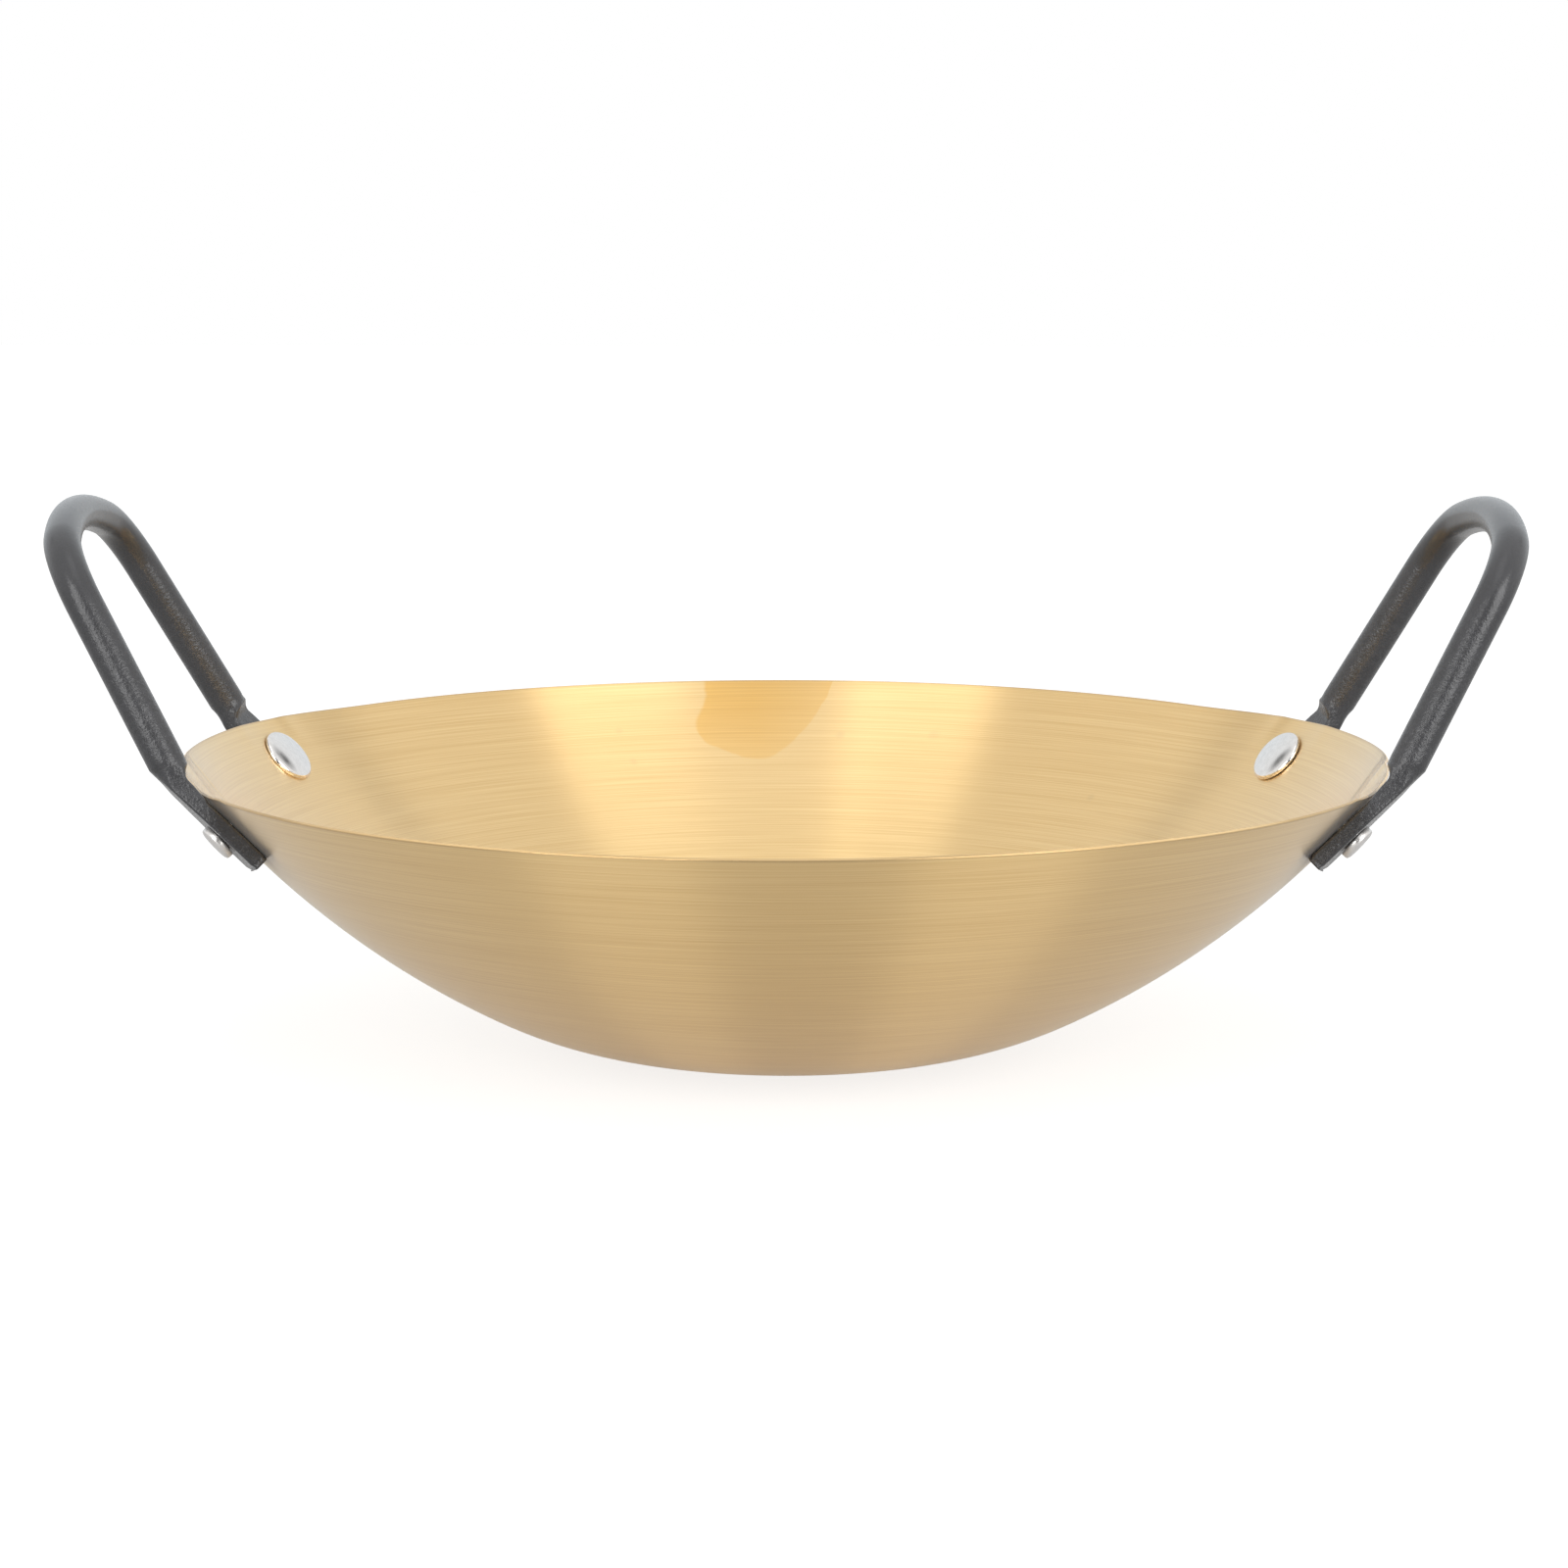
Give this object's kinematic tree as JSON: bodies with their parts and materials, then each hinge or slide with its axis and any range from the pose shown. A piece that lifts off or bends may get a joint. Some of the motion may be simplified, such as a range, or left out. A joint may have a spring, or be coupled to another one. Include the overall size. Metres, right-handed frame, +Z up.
{
  "type": "wok",
  "caption": "Shallow round wok of thin spun sheet with a small flat base and a tall bent-rod handle riveted to each side.",
  "frame": {"origin": "middle of the underside of the flat base", "axes": "+Z up out of the mouth of the bowl, X through both handles, -Y to the side that the picture is taken from"},
  "size_m": [0.29, 0.24, 0.1098],
  "materials": {
    "bowl_sheet": "satin gold, brushed round the axis",
    "handle_coat": "fine textured satin black coat on steel rod",
    "rivet_metal": "bright, slightly brushed"
  },
  "bodies": {
    "root": {"wok_bowl": "bowl_sheet", "left_handle": "handle_coat", "right_handle": "handle_coat", "rivet_left_front": "rivet_metal", "rivet_left_rear": "rivet_metal", "rivet_right_front": "rivet_metal", "rivet_right_rear": "rivet_metal"}
  },
  "joints": []
}
